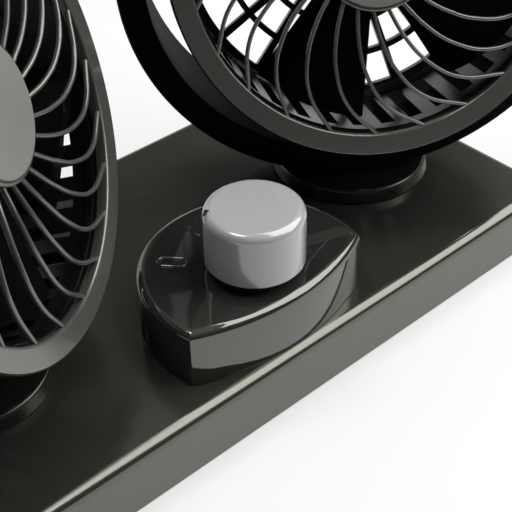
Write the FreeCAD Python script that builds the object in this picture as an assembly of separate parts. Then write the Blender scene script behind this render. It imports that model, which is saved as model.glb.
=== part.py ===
import FreeCAD, Part
import math
import os

# Dual head car fan: two fan heads, each tilting in a yoke that swivels on one long base with a speed knob.
# Millimetres. The origin lies under the middle of the base on the surface it stands on.
# +X runs along the base, -Y is the front with the knob, +Z is up.

Vec = FreeCAD.Vector
UP = Vec(0, 0, 1)

# Base
base_end = 36.4
base_depth = 107.6
base_height = 19.3
base_corner = 8.0
base_edge = 3.0
base_wall = 2.5
rim_lift = 0.6
plate_thick = 2.0
pad_thick = 1.6
pad_length = 40.0
pad_width = 70.0
pad_corner = 4.0
plate_clear = 0.2
post_radius = 4.0
post_inset_x = 13.0
post_inset_y = 13.0
base_screw_radius = 1.5
base_screw_head_radius = 2.8
base_screw_head_height = 1.4
base_screw_bite = 9.0

# Cord inlet in the back wall
inlet_bore_radius = 2.5
inlet_radius = 4.2
inlet_flange_radius = 6.0
inlet_flange_thick = 1.6
inlet_height = 9.6

# Switch housing and knob
housing_front_margin = 2.5
housing_radius = 32.0
housing_front_radius = 81.0
housing_front_reach = 16.8
housing_height = 19.0
housing_edge = 2.3
housing_wall = 2.4
housing_post_radius = 3.2
housing_post_place = 22.0
housing_screw_radius = 1.25
housing_screw_head_radius = 2.4
housing_screw_head_height = 1.4
housing_screw_bite = 9.0
switch_side = 22.0
switch_depth = 11.0
bush_radius = 4.5
bush_rise = 5.0
nut_across = 11.0
nut_height = 2.0
stem_radius = 3.0
stem_flat = 0.7
stem_rise = 12.5
stem_root = 6.0
knob_radius = 13.55
knob_height = 15.6
knob_gap = 1.9
knob_edge = 2.4
knob_skirt_wall = 2.0
knob_recess_gap = 1.1
knob_notch_width = 3.2
knob_notch_depth = 1.8
knob_notch_angle = 143.0

# Swivels
swivel_y = 0.1
swivel_pass_gap = 0.25
table_radius = 24.8
table_draft = 0.6
table_height = 4.2
table_edge = 1.1
spigot_radius = 14.0
wire_bore_radius = 5.0
retainer_radius = 18.0
retainer_thick = 2.0
swivel_screw_radius = 1.5
swivel_screw_head_radius = 2.7
swivel_screw_head_height = 1.8
swivel_screw_circle = 9.5
swivel_screw_bite = 4.0
left_yaw = 38.0
right_yaw = -33.5

# Yokes
head_swing_gap = 0.65
yoke_thick = 8.0
yoke_width = 29.0
yoke_edge = 1.8
yoke_foot_radius = 13.5
yoke_foot_height = 0.6
pivot_radius = 2.5
pivot_head_radius = 4.6
pivot_head_height = 2.4
pivot_bite = 6.5
pivot_boss_radius = 6.2
pivot_pad = 0.6
pivot_washer_thick = 1.9
pivot_spot_depth = 0.4
left_tilt = 17.5
right_tilt = 17.5

# Head shells
face_ahead = 24.0
drum_radius = 55.0
drum_wall = 4.5
drum_rear = 22.0
drum_round = 5.0
rear_thick = 2.4
slot_count = 38
slot_share = 0.49
slot_front_margin = 9.8
slot_rear_margin = 2.0
slot_skip = 10.0
collar_setback = 4.0
collar_length = 2.0
collar_height = 0.4
rear_bar_count = 20
rear_bar_width = 2.2
rear_hoop_count = 2
rear_hoop_width = 1.8
rear_rim_inset = 7.6
rear_hub_margin = 3.0

# Front grille
bezel_width = 6.1
bezel_thick = 3.0
bezel_edge = 0.5
skirt_wall = 1.8
skirt_length = 5.0
rib_count = 24
rib_width = 1.3
rib_depth = 2.6
rib_sweep = 34.9
rib_mid_sweep = 13.6
rib_start = -37.0
rib_root_dip = 0.9
rib_crown = 1.4
rib_rim_dip = 0.5
hub_rim = 1.2
hub_dip = 0.4
hub_thick = 3.0
badge_radius = 15.4
badge_thick = 1.5
badge_proud = 0.2

# Motor and impeller
motor_radius = 12.0
motor_length = 19.0
motor_seat_wall = 1.6
motor_seat_height = 3.0
motor_edge = 1.0
motor_boss_radius = 3.4
motor_boss_length = 1.8
endcap_length = 4.0
motor_screw_radius = 1.0
motor_screw_head_radius = 2.0
motor_screw_head_height = 1.2
motor_screw_circle = 7.0
motor_screw_bite = 2.5
shaft_radius = 1.0
shaft_root = 9.0
impeller_motor_gap = 1.8
impeller_hub_wall = 1.8
impeller_hub_length = 14.0
impeller_behind_grille = 5.0
impeller_sleeve_radius = 3.0
blade_count = 5
blade_start = 31.0
blade_tip_gap = 3.1
blade_thick = 1.5
blade_camber = 2.6
blade_root_chord = 17.0
blade_root_pitch = 48.0
blade_tip_chord = 36.0
blade_tip_pitch = 25.0

# Clearances
slide_gap = 0.3
running_gap = 0.06
seat_gap = 0.1
overlap = 0.6

# Levels, places and radii that follow from the sizes above
base_under = base_height - base_wall
plate_under = pad_thick
plate_top = plate_under + plate_thick
knob_y = housing_front_margin + housing_front_reach - base_depth / 2
housing_top = base_height + housing_height
knob_base = housing_top + knob_gap
knob_top = knob_base + knob_height
knob_recess_top = housing_top + bush_rise + knob_recess_gap
table_under = base_height + slide_gap
table_top = table_under + table_height
retainer_top = base_under - slide_gap
retainer_under = retainer_top - retainer_thick
drum_inner_radius = drum_radius - drum_wall
drum_front = face_ahead - bezel_thick
skirt_inner_radius = drum_radius + seat_gap
bezel_radius = skirt_inner_radius + skirt_wall
bezel_inner_radius = bezel_radius - bezel_width
yoke_inner_radius = math.hypot(bezel_radius, face_ahead) + head_swing_gap
yoke_radius = yoke_inner_radius + yoke_thick
tilt_height = table_top + yoke_foot_height + yoke_radius
swivel_x = math.hypot(yoke_radius, yoke_width / 2) + swivel_pass_gap
base_length = 2 * (swivel_x + base_end)
boss_end = yoke_inner_radius + pivot_spot_depth - pivot_washer_thick - slide_gap
rear_face = -drum_rear
rear_inside = rear_face + rear_thick
guard_front = rear_face + drum_round
guard_rim = drum_radius - rear_rim_inset
guard_hub_radius = motor_radius + motor_seat_wall + rear_hub_margin
hub_radius = badge_radius + hub_rim
hub_front = face_ahead - hub_dip
hub_back = hub_front - hub_thick
badge_back = face_ahead + badge_proud - badge_thick
motor_front = rear_inside + endcap_length + motor_length
impeller_front = hub_back - impeller_behind_grille
impeller_back = impeller_front - impeller_hub_length
impeller_hub_inside = motor_radius + impeller_motor_gap
impeller_hub_radius = impeller_hub_inside + impeller_hub_wall
blade_radius = drum_inner_radius - blade_tip_gap


# Basic solids

def rod(radius, low, high, x=0.0, y=0.0):
    """Upright cylinder between two levels."""
    return Part.makeCylinder(radius, high - low, Vec(x, y, low), UP)


def tube(outer, inner, low, high, x=0.0, y=0.0):
    """Upright tube between two levels."""
    return rod(outer, low, high, x, y).cut(rod(inner, low - overlap, high + overlap, x, y))


def cross_rod(radius, near, far):
    """Cylinder along +X between two distances."""
    return Part.makeCylinder(radius, far - near, Vec(near, 0, 0), Vec(1, 0, 0))


def cross_tube(outer, inner, near, far):
    """Tube along +X between two distances."""
    return cross_rod(outer, near, far).cut(cross_rod(inner, near - overlap, far + overlap))


def rounded_slab(length, depth, corner, low, high):
    """Slab with rounded upright corners, centred on the origin."""
    slab = Part.makeBox(length, depth, high - low, Vec(-length / 2, -depth / 2, low))
    upright = [e for e in slab.Edges if abs(e.tangentAt(e.FirstParameter).z) > 0.9]
    return slab.makeFillet(corner, upright)


def edges_at(shape, level):
    """Edges that lie in one horizontal plane."""
    found = []
    for edge in shape.Edges:
        box = edge.BoundBox
        if abs(box.ZMin - level) < 1e-6 and abs(box.ZMax - level) < 1e-6:
            found.append(edge)
    return found


def spun(points):
    """Solid of revolution about Z from (radius, level) points; a middle pair marks an arc as (via, end)."""
    edges = []
    here = points[0]
    for step in points[1:] + [points[0]]:
        if isinstance(step[0], tuple):
            via, end = step
            arc = Part.Arc(Vec(here[0], 0, here[1]), Vec(via[0], 0, via[1]), Vec(end[0], 0, end[1]))
            edges.append(arc.toShape())
            here = end
        else:
            if step != here:
                edges.append(Part.makeLine(Vec(here[0], 0, here[1]), Vec(step[0], 0, step[1])))
            here = step
    face = Part.Face(Part.Wire(edges))
    return face.revolve(Vec(0, 0, 0), UP, 360)


def ring_of(shape, count, first=0.0):
    """Copies of a shape spaced evenly about Z."""
    copies = []
    for index in range(count):
        copy = shape.copy()
        copy.rotate(Vec(0, 0, 0), UP, first + index * 360.0 / count)
        copies.append(copy)
    return copies


def screw_up(shank, head, head_height, bite, level, x, y):
    """Screw put in from below: its head hangs under level and its shank rises above it."""
    return rod(shank, level, level + bite, x, y).fuse(rod(head, level - head_height, level, x, y))


# Base pieces

def post_places():
    reach_x = base_length / 2 - post_inset_x
    reach_y = base_depth / 2 - post_inset_y
    return [(sx * reach_x, sy * reach_y) for sx in (-1, 1) for sy in (-1, 1)]


def housing_post_places():
    return [(side * housing_post_place, knob_y) for side in (-1, 1)]


def base_screw_seat():
    return plate_under + base_screw_head_height


def make_base_cover():
    outside = rounded_slab(base_length, base_depth, base_corner, rim_lift, base_height)
    outside = outside.makeFillet(base_edge, edges_at(outside, base_height))
    hollow = rounded_slab(base_length - 2 * base_wall, base_depth - 2 * base_wall,
                          base_corner - base_wall, rim_lift - overlap, base_under)
    cover = outside.cut(hollow)
    posts = [rod(post_radius, plate_top, base_under + overlap, x, y) for x, y in post_places()]
    cover = cover.multiFuse(posts).removeSplitter()
    holes = [rod(base_screw_radius, plate_top - overlap, base_screw_seat() + base_screw_bite, x, y)
             for x, y in post_places()]
    for side in (-1, 1):
        holes.append(rod(spigot_radius + slide_gap, base_under - overlap, base_height + overlap,
                         side * swivel_x, swivel_y))
    holes.append(rod(switch_side / 2 + slide_gap, base_under - overlap, base_height + overlap, 0, knob_y))
    for x, y in housing_post_places():
        holes.append(rod(housing_screw_radius, base_under - overlap, base_height + overlap, x, y))
    inlet = Part.makeCylinder(inlet_radius, base_wall + 2 * overlap,
                              Vec(0, base_depth / 2 - base_wall - overlap, inlet_height), Vec(0, 1, 0))
    return cover.cut(holes + [inlet])


def make_base_plate():
    trim = base_wall + plate_clear
    plate = rounded_slab(base_length - 2 * trim, base_depth - 2 * trim, base_corner - trim,
                         plate_under, plate_top)
    holes = []
    for x, y in post_places():
        holes.append(rod(base_screw_radius, plate_under - overlap, plate_top + overlap, x, y))
        holes.append(rod(base_screw_head_radius, plate_under - overlap, base_screw_seat(), x, y))
    return plate.cut(holes)


def make_base_screws():
    return Part.makeCompound([screw_up(base_screw_radius, base_screw_head_radius, base_screw_head_height,
                                       base_screw_bite, base_screw_seat(), x, y) for x, y in post_places()])


def make_adhesive_pads():
    pads = []
    for side in (-1, 0, 1):
        pad = rounded_slab(pad_length, pad_width, pad_corner, 0.0, pad_thick)
        pad.translate(Vec(side * swivel_x, 0, 0))
        pads.append(pad)
    return Part.makeCompound(pads)


def make_cord_inlet():
    wall_face = base_depth / 2
    bush = Part.makeCylinder(inlet_radius, base_wall + inlet_flange_thick,
                             Vec(0, wall_face - base_wall, inlet_height), Vec(0, 1, 0))
    flange = Part.makeCylinder(inlet_flange_radius, inlet_flange_thick,
                               Vec(0, wall_face, inlet_height), Vec(0, 1, 0))
    flange = flange.makeChamfer(inlet_flange_thick / 3, [e for e in flange.Edges
                                if abs(e.BoundBox.YMin - wall_face - inlet_flange_thick) < 1e-6])
    bore = Part.makeCylinder(inlet_bore_radius, base_wall + inlet_flange_thick + 2 * overlap,
                             Vec(0, wall_face - base_wall - overlap, inlet_height), Vec(0, 1, 0))
    return bush.fuse(flange).removeSplitter().cut(bore)


# Switch pieces

def housing_form(inset, low, high, edge):
    """Round tower about the knob, trimmed at the front by a shallow arc that leaves two sharp corners."""
    round_side = rod(housing_radius - inset, low, high, 0, knob_y)
    front_centre = knob_y - housing_front_reach + housing_front_radius
    front_side = rod(housing_front_radius - inset, low, high, 0, front_centre)
    if edge > 0:
        round_side = round_side.makeFillet(edge, edges_at(round_side, high))
        front_side = front_side.makeFillet(edge, edges_at(front_side, high))
    return round_side.common(front_side)


def make_switch_housing():
    outside = housing_form(0.0, base_height, housing_top, housing_edge)
    hollow = housing_form(housing_wall, base_height - overlap, housing_top - housing_wall, 0.0)
    shell = outside.cut(hollow)
    posts = [rod(housing_post_radius, base_height, housing_top - housing_wall + overlap, x, y)
             for x, y in housing_post_places()]
    shell = shell.multiFuse(posts).removeSplitter()
    holes = [rod(bush_radius, housing_top - housing_wall - overlap, housing_top + overlap, 0, knob_y)]
    for x, y in housing_post_places():
        holes.append(rod(housing_screw_radius, base_height - overlap, base_under + housing_screw_bite, x, y))
    return shell.cut(holes)


def make_housing_screws():
    return Part.makeCompound([screw_up(housing_screw_radius, housing_screw_head_radius,
                                       housing_screw_head_height, housing_screw_bite, base_under, x, y)
                              for x, y in housing_post_places()])


def make_rotary_switch():
    top = housing_top - housing_wall
    bottom = top - switch_depth
    half = switch_side / 2
    body = rod(half, bottom, top, 0, knob_y)
    bush = rod(bush_radius, top - overlap, housing_top + bush_rise, 0, knob_y)
    lug_depth = switch_depth / 2
    lugs = []
    for index in (-1, 0, 1):
        width = half / 5
        lugs.append(Part.makeBox(width, width / 3, lug_depth,
                                 Vec(index * half / 2 - width / 2, knob_y - width / 6, bottom - lug_depth)))
    body = body.multiFuse([bush] + lugs).removeSplitter()
    well = rod(stem_radius + running_gap, top - stem_root, housing_top + bush_rise + overlap, 0, knob_y)
    return body.cut(well)


def hexagon(across, low, high, x, y):
    points = []
    reach = across / math.sqrt(3)
    for index in range(7):
        turn = math.radians(60 * index)
        points.append(Vec(x + reach * math.cos(turn), y + reach * math.sin(turn), low))
    return Part.Face(Part.makePolygon(points)).extrude(Vec(0, 0, high - low))


def make_switch_nut():
    nut = hexagon(nut_across, housing_top, housing_top + nut_height, 0, knob_y)
    return nut.cut(rod(bush_radius, housing_top - overlap, housing_top + nut_height + overlap, 0, knob_y))


def stem(radius, low, high, flat):
    post = rod(radius, low, high, 0, knob_y)
    cut_low = housing_top + bush_rise + slide_gap
    side = 4 * radius
    flat_block = Part.makeBox(side, side, high - cut_low + overlap,
                              Vec(-side / 2, knob_y + radius - flat, cut_low))
    return post.cut(flat_block)


def make_switch_stem():
    low = housing_top - housing_wall - stem_root + slide_gap
    return stem(stem_radius, low, housing_top + stem_rise, stem_flat)


def make_knob():
    body = rod(knob_radius, knob_base, knob_top, 0, knob_y)
    body = body.makeFillet(knob_edge, edges_at(body, knob_top))
    recess = rod(knob_radius - knob_skirt_wall, knob_base - overlap, knob_recess_top, 0, knob_y)
    socket = stem(stem_radius, knob_base - overlap, housing_top + stem_rise, stem_flat)
    turn = math.radians(knob_notch_angle)
    out = Vec(math.cos(turn), math.sin(turn), 0)
    along = Vec(-out.y, out.x, 0)
    rim = Vec(0, knob_y, knob_top) + out * knob_radius
    corners = [rim + along * knob_notch_width - UP * knob_edge + out * overlap,
               rim - out * (knob_edge + knob_notch_depth) + UP * overlap,
               rim - along * knob_notch_width - UP * knob_edge + out * overlap]
    wedge = Part.Face(Part.makePolygon(corners + [corners[0]]))
    notch = wedge.extrude((out + UP) * (2 * knob_edge))
    return body.cut([recess, socket, notch])


# Swivel pieces, in a frame on the swivel axis with the head facing -Y

def swivel_screw_places():
    places = []
    for index in range(3):
        turn = math.radians(90 + 120 * index)
        places.append((swivel_screw_circle * math.cos(turn), swivel_screw_circle * math.sin(turn)))
    return places


def make_turntable():
    bend = table_edge * (1 - math.sqrt(0.5))
    top_radius = table_radius - table_draft
    disc = spun([(wire_bore_radius, retainer_top), (spigot_radius, retainer_top),
                 (spigot_radius, table_under), (table_radius, table_under),
                 (top_radius, table_top - table_edge),
                 ((top_radius - bend, table_top - bend), (top_radius - table_edge, table_top)),
                 (wire_bore_radius, table_top)])
    return disc.cut([rod(swivel_screw_radius, retainer_top - overlap, table_top + overlap, x, y)
                     for x, y in swivel_screw_places()])


def make_retainer():
    ring = tube(retainer_radius, wire_bore_radius, retainer_under, retainer_top)
    return ring.cut([rod(swivel_screw_radius, retainer_under - overlap, retainer_top + overlap, x, y)
                     for x, y in swivel_screw_places()])


def make_swivel_screws():
    bite = table_top - retainer_under + swivel_screw_bite
    return Part.makeCompound([screw_up(swivel_screw_radius, swivel_screw_head_radius,
                                       swivel_screw_head_height, bite, retainer_under, x, y)
                              for x, y in swivel_screw_places()])


def make_yoke():
    half = yoke_width / 2
    bend = yoke_edge * (1 - math.sqrt(0.5))
    inner = yoke_inner_radius
    outer = yoke_radius
    hoop = spun([(inner + yoke_edge, -half), (outer - yoke_edge, -half),
                 ((outer - bend, bend - half), (outer, yoke_edge - half)),
                 (outer, half - yoke_edge),
                 ((outer - bend, half - bend), (outer - yoke_edge, half)),
                 (inner + yoke_edge, half),
                 ((inner + bend, half - bend), (inner, half - yoke_edge)),
                 (inner, yoke_edge - half),
                 ((inner + bend, bend - half), (inner + yoke_edge, -half))])
    hoop.rotate(Vec(0, 0, 0), Vec(1, 0, 0), 90)
    hoop.translate(Vec(0, 0, tilt_height))
    reach = outer + overlap
    lower = Part.makeBox(2 * reach, 2 * half + 2 * overlap, reach,
                         Vec(-reach, -half - overlap, tilt_height - reach))
    round_end = Part.makeCylinder(half, 2 * reach, Vec(-reach, 0, tilt_height), Vec(1, 0, 0))
    arms = hoop.common(lower.fuse(round_end))
    foot = rod(yoke_foot_radius, table_top, tilt_height - inner - yoke_thick / 2)
    clear_inside = Part.makeCylinder(inner + yoke_edge, 2 * reach, Vec(0, -reach, tilt_height), Vec(0, 1, 0))
    body = arms.fuse(foot.cut(clear_inside)).removeSplitter()
    holes = [rod(swivel_screw_radius, table_top - overlap, table_top + swivel_screw_bite, x, y)
             for x, y in swivel_screw_places()]
    holes.append(rod(wire_bore_radius, table_top - overlap, table_top + swivel_screw_bite))
    for side in (0, 180):
        spot = cross_rod(pivot_boss_radius + slide_gap, inner - overlap - 1, inner + pivot_spot_depth)
        hole = cross_rod(pivot_radius, inner - overlap, outer + overlap)
        sink = cross_rod(pivot_head_radius, outer - pivot_head_height, outer + overlap)
        for cutter in (spot, hole, sink):
            cutter.rotate(Vec(0, 0, 0), UP, side)
            cutter.translate(Vec(0, 0, tilt_height))
            holes.append(cutter)
    return body.cut(holes)


def both_pivots(shape):
    pieces = []
    for side in (0, 180):
        piece = shape.copy()
        piece.rotate(Vec(0, 0, 0), UP, side)
        piece.translate(Vec(0, 0, tilt_height))
        pieces.append(piece)
    return Part.makeCompound(pieces)


def make_pivot_screws():
    head_back = yoke_radius - pivot_head_height
    head = cross_rod(pivot_head_radius, head_back, yoke_radius - slide_gap)
    shank = cross_rod(pivot_radius, boss_end - pivot_bite, head_back)
    slot = Part.makeBox(pivot_head_height, 2 * pivot_head_radius, pivot_head_height / 3,
                        Vec(yoke_radius - slide_gap - pivot_head_height / 2, -pivot_head_radius,
                            -pivot_head_height / 6))
    return both_pivots(head.fuse(shank).removeSplitter().cut(slot))


def make_pivot_washers():
    face = yoke_inner_radius + pivot_spot_depth
    return both_pivots(cross_tube(pivot_boss_radius, pivot_radius, face - pivot_washer_thick, face))


# Head pieces, in a frame on the tilt axis: +X along the tilt axis, +Y up, +Z out of the front grille

def motor_screw_places():
    return [(side * motor_screw_circle, 0.0) for side in (-1, 1)]


def drum_wall_ring():
    """Side wall with the collar inside its front end."""
    collar_front = face_ahead - collar_setback
    collar_back = collar_front - collar_length
    collar_radius = drum_inner_radius - collar_height
    return spun([(drum_radius, guard_front), (drum_radius, drum_front), (drum_inner_radius, drum_front),
                 (drum_inner_radius, collar_front), (collar_radius, collar_front),
                 (collar_radius, collar_back), (drum_inner_radius, collar_back),
                 (drum_inner_radius, guard_front)])


def side_slots():
    """Long vents round the side wall, left out beside the two pivots."""
    low = guard_front + slot_rear_margin
    high = face_ahead - slot_front_margin
    pitch = 360.0 / slot_count
    width = 2 * drum_inner_radius * math.sin(math.radians(pitch * slot_share / 2))
    slots = []
    for index in range(slot_count):
        turn = index * pitch
        beside_pivot = min(turn % 180.0, 180.0 - turn % 180.0)
        if beside_pivot > slot_skip:
            slot = Part.makeBox(2 * drum_wall + collar_height, width, high - low,
                                Vec(drum_inner_radius - drum_wall / 2, -width / 2, low))
            slot.rotate(Vec(0, 0, 0), UP, turn)
            slots.append(slot)
    return slots


def make_drum():
    wall = drum_wall_ring().cut(side_slots())
    bosses = []
    bores = []
    for side in (0, 180):
        boss = cross_rod(pivot_boss_radius, drum_inner_radius - pivot_pad, boss_end)
        bore = cross_rod(pivot_radius + running_gap, drum_inner_radius - pivot_pad - overlap,
                         boss_end + overlap)
        boss.rotate(Vec(0, 0, 0), UP, side)
        bore.rotate(Vec(0, 0, 0), UP, side)
        bosses.append(boss)
        bores.append(bore)
    return wall.multiFuse(bosses).removeSplitter().cut(bores)


def guard_windows():
    """Openings of the rear guard: bands between its hub, hoops and rim, parted by straight bars."""
    low = rear_face - overlap
    high = rear_inside + overlap
    step = (guard_rim - guard_hub_radius) / (rear_hoop_count + 1)
    bar = Part.makeBox(guard_rim + overlap, rear_bar_width, high - low + 2 * overlap,
                       Vec(0, -rear_bar_width / 2, low - overlap))
    bars = ring_of(bar, rear_bar_count)
    bands = []
    for index in range(rear_hoop_count + 1):
        start = guard_hub_radius + index * step
        end = start + step
        if index > 0:
            start = start + rear_hoop_width / 2
        if index < rear_hoop_count:
            end = end - rear_hoop_width / 2
        bands.append(tube(end, start, low, high).cut(bars))
    return bands


def make_rear_guard():
    """Shallow dish with a rounded rim that closes the back of the side wall and carries the motor."""
    bend = drum_round * (1 - math.sqrt(0.5))
    inner_round = drum_round - rear_thick
    inner_bend = inner_round * (1 - math.sqrt(0.5))
    dish = spun([(0, rear_face), (drum_radius - drum_round, rear_face),
                 ((drum_radius - bend, rear_face + bend), (drum_radius, guard_front)),
                 (drum_inner_radius, guard_front),
                 ((drum_inner_radius - inner_bend, rear_inside + inner_bend),
                  (drum_inner_radius - inner_round, rear_inside)),
                 (0, rear_inside)])
    seat = tube(motor_radius + seat_gap + motor_seat_wall, motor_radius + seat_gap, rear_inside - overlap,
                rear_inside + motor_seat_height)
    dish = dish.cut(guard_windows()).fuse(seat).removeSplitter()
    return dish.cut([rod(motor_screw_radius, rear_face - overlap, rear_inside + overlap, x, y)
                     for x, y in motor_screw_places()])


def rib_outline():
    """Plan of one swept rib: a bar along the arc through its root, middle and rim points."""
    root = hub_radius - overlap
    rim = bezel_inner_radius + overlap
    middle = (root + rim) / 2
    places = []
    for radius, sweep in ((root, 0.0), (middle, rib_mid_sweep), (rim, rib_sweep)):
        turn = math.radians(sweep)
        places.append(Vec(radius * math.cos(turn), radius * math.sin(turn), 0))
    circle = Part.Arc(*places).toShape().Curve
    centre = circle.Center
    sides = []
    for offset in (-rib_width / 2, rib_width / 2):
        scale = (circle.Radius + offset) / circle.Radius
        sides.append([centre + (place - centre) * scale for place in places])
    near, far = sides
    edges = [Part.Arc(*near).toShape(), Part.makeLine(near[2], far[2]),
             Part.Arc(*reversed(far)).toShape(), Part.makeLine(far[0], near[0])]
    return Part.Face(Part.Wire(edges))


def rib_dome():
    """Shallow domed band that the ribs lie in."""
    root = hub_radius - 2 * overlap
    rim = bezel_inner_radius + 2 * overlap
    middle = (root + rim) / 2
    front = [(root, face_ahead - rib_root_dip), (middle, face_ahead + rib_crown),
             (rim, face_ahead - rib_rim_dip)]
    back = [(radius, level - rib_depth) for radius, level in front]
    return spun([back[0], (back[1], back[2]), front[2], (front[1], front[0])])


def make_front_grille():
    bend = bezel_edge * (1 - math.sqrt(0.5))
    skirt_back = drum_front - skirt_length
    bezel = spun([(bezel_inner_radius, drum_front), (skirt_inner_radius, drum_front),
                  (skirt_inner_radius, skirt_back), (bezel_radius, skirt_back),
                  (bezel_radius, face_ahead - bezel_edge),
                  ((bezel_radius - bend, face_ahead - bend), (bezel_radius - bezel_edge, face_ahead)),
                  (bezel_inner_radius, face_ahead)])
    hub = rod(hub_radius, hub_back, hub_front)
    seat = rod(badge_radius, badge_back, hub_front + overlap)
    reach = rib_crown + rib_depth + overlap
    plan = rib_outline()
    plan.translate(Vec(0, 0, face_ahead - reach - rib_root_dip - rib_rim_dip))
    rib = plan.extrude(Vec(0, 0, 2 * reach + rib_root_dip + rib_rim_dip)).common(rib_dome())
    ribs = ring_of(rib, rib_count, rib_start)
    return bezel.multiFuse([hub] + ribs).removeSplitter().cut(seat)


def make_badge():
    disc = rod(badge_radius, badge_back, badge_back + badge_thick)
    return disc.makeFillet(badge_thick / 4, edges_at(disc, badge_back + badge_thick))


def make_motor():
    back = rear_inside + endcap_length
    can = rod(motor_radius, back, motor_front)
    can = can.makeFillet(motor_edge, edges_at(can, motor_front))
    boss = rod(motor_boss_radius, motor_front - overlap, motor_front + motor_boss_length)
    bore = rod(shaft_radius + running_gap, motor_front - shaft_root - slide_gap,
               motor_front + motor_boss_length + overlap)
    return can.fuse(boss).removeSplitter().cut(bore)


def make_motor_endcap():
    cap = rod(motor_radius, rear_inside, rear_inside + endcap_length)
    return cap.cut([rod(motor_screw_radius, rear_inside - overlap, rear_inside + motor_screw_bite, x, y)
                    for x, y in motor_screw_places()])


def make_motor_screws():
    bite = rear_thick + motor_screw_bite
    return Part.makeCompound([screw_up(motor_screw_radius, motor_screw_head_radius, motor_screw_head_height,
                                       bite, rear_face, x, y) for x, y in motor_screw_places()])


def make_motor_shaft():
    return rod(shaft_radius, motor_front - shaft_root, impeller_front - impeller_hub_wall)


def blade_section(radius, chord, pitch):
    """Thin cambered section of a blade, square to the radius along +X."""
    turn = math.radians(pitch)
    centre = (impeller_front + impeller_back) / 2
    def place(along, lift):
        tangent = along * math.cos(turn) - lift * math.sin(turn)
        axial = along * math.sin(turn) + lift * math.cos(turn)
        return Vec(radius, tangent, centre + axial)
    half = chord / 2
    edge = blade_thick / 4
    high = blade_camber + blade_thick / 2
    low = blade_camber - blade_thick / 2
    upper = Part.Arc(place(-half, edge), place(0, high), place(half, edge)).toShape()
    lower = Part.Arc(place(half, -edge), place(0, low), place(-half, -edge)).toShape()
    nose = Part.makeLine(place(half, edge), place(half, -edge))
    tail = Part.makeLine(place(-half, -edge), place(-half, edge))
    return Part.Wire([upper, nose, lower, tail])


def make_impeller():
    inside = impeller_hub_inside
    floor = impeller_front - impeller_hub_wall
    cup = rod(impeller_hub_radius, impeller_back, impeller_front)
    cup = cup.makeFillet(impeller_hub_wall, edges_at(cup, impeller_front))
    cup = cup.cut(rod(inside, impeller_back - overlap, floor))
    sleeve_back = max(impeller_back, motor_front + motor_boss_length + slide_gap)
    sleeve = rod(impeller_sleeve_radius, sleeve_back, floor + overlap)
    root = blade_section(inside + overlap, blade_root_chord, blade_root_pitch)
    tip = blade_section(blade_radius + blade_camber, blade_tip_chord, blade_tip_pitch)
    blade = Part.makeLoft([root, tip], True, True)
    reach = blade_tip_chord
    envelope = tube(blade_radius, inside + overlap / 2, impeller_back - reach, impeller_front + reach)
    blades = ring_of(blade.common(envelope), blade_count, blade_start)
    body = cup.multiFuse([sleeve] + blades).removeSplitter()
    return body.cut(rod(shaft_radius, impeller_back - overlap, floor))


# Placing and writing

def on_swivel(shape, side, yaw):
    placed = shape.copy()
    placed.rotate(Vec(0, 0, 0), UP, yaw)
    placed.translate(Vec(side * swivel_x, swivel_y, 0))
    return placed


def on_head(shape, side, yaw, tilt):
    placed = shape.copy()
    placed.rotate(Vec(0, 0, 0), Vec(1, 0, 0), 90 - tilt)
    placed.translate(Vec(0, 0, tilt_height))
    return on_swivel(placed, side, yaw)


base_pieces = {
    "base_cover": make_base_cover,
    "base_plate": make_base_plate,
    "base_screws": make_base_screws,
    "adhesive_pads": make_adhesive_pads,
    "cord_inlet": make_cord_inlet,
    "switch_housing": make_switch_housing,
    "housing_screws": make_housing_screws,
    "rotary_switch": make_rotary_switch,
    "switch_nut": make_switch_nut,
    "switch_stem": make_switch_stem,
    "knob": make_knob,
}
swivel_pieces = {
    "turntable": make_turntable,
    "retainer": make_retainer,
    "swivel_screws": make_swivel_screws,
    "yoke": make_yoke,
    "pivot_screws": make_pivot_screws,
    "pivot_washers": make_pivot_washers,
}
head_pieces = {
    "drum": make_drum,
    "rear_guard": make_rear_guard,
    "front_grille": make_front_grille,
    "badge": make_badge,
    "motor": make_motor,
    "motor_endcap": make_motor_endcap,
    "motor_screws": make_motor_screws,
    "motor_shaft": make_motor_shaft,
    "impeller": make_impeller,
}
heads = (("left", -1, left_yaw, left_tilt), ("right", 1, right_yaw, right_tilt))

os.makedirs("parts", exist_ok=True)
for name, make in base_pieces.items():
    make().exportStep("parts/" + name + ".step")
for name, make in swivel_pieces.items():
    shape = make()
    for label, side, yaw, tilt in heads:
        on_swivel(shape, side, yaw).exportStep("parts/" + label + "_" + name + ".step")
for name, make in head_pieces.items():
    shape = make()
    for label, side, yaw, tilt in heads:
        on_head(shape, side, yaw, tilt).exportStep("parts/" + label + "_" + name + ".step")
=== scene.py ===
# %% [markdown]
# # A dual head car fan
# Two fan heads stand in yokes on one long base, and a grey knob between them sets the speed. The imported CAD
# model is loaded first. It is the fixed frame: it says where every piece goes, in metres, and which pieces
# move together. What we add here is the look.

# %% Load the frame
import math
import bpy
from mathutils import Matrix, Vector


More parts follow.
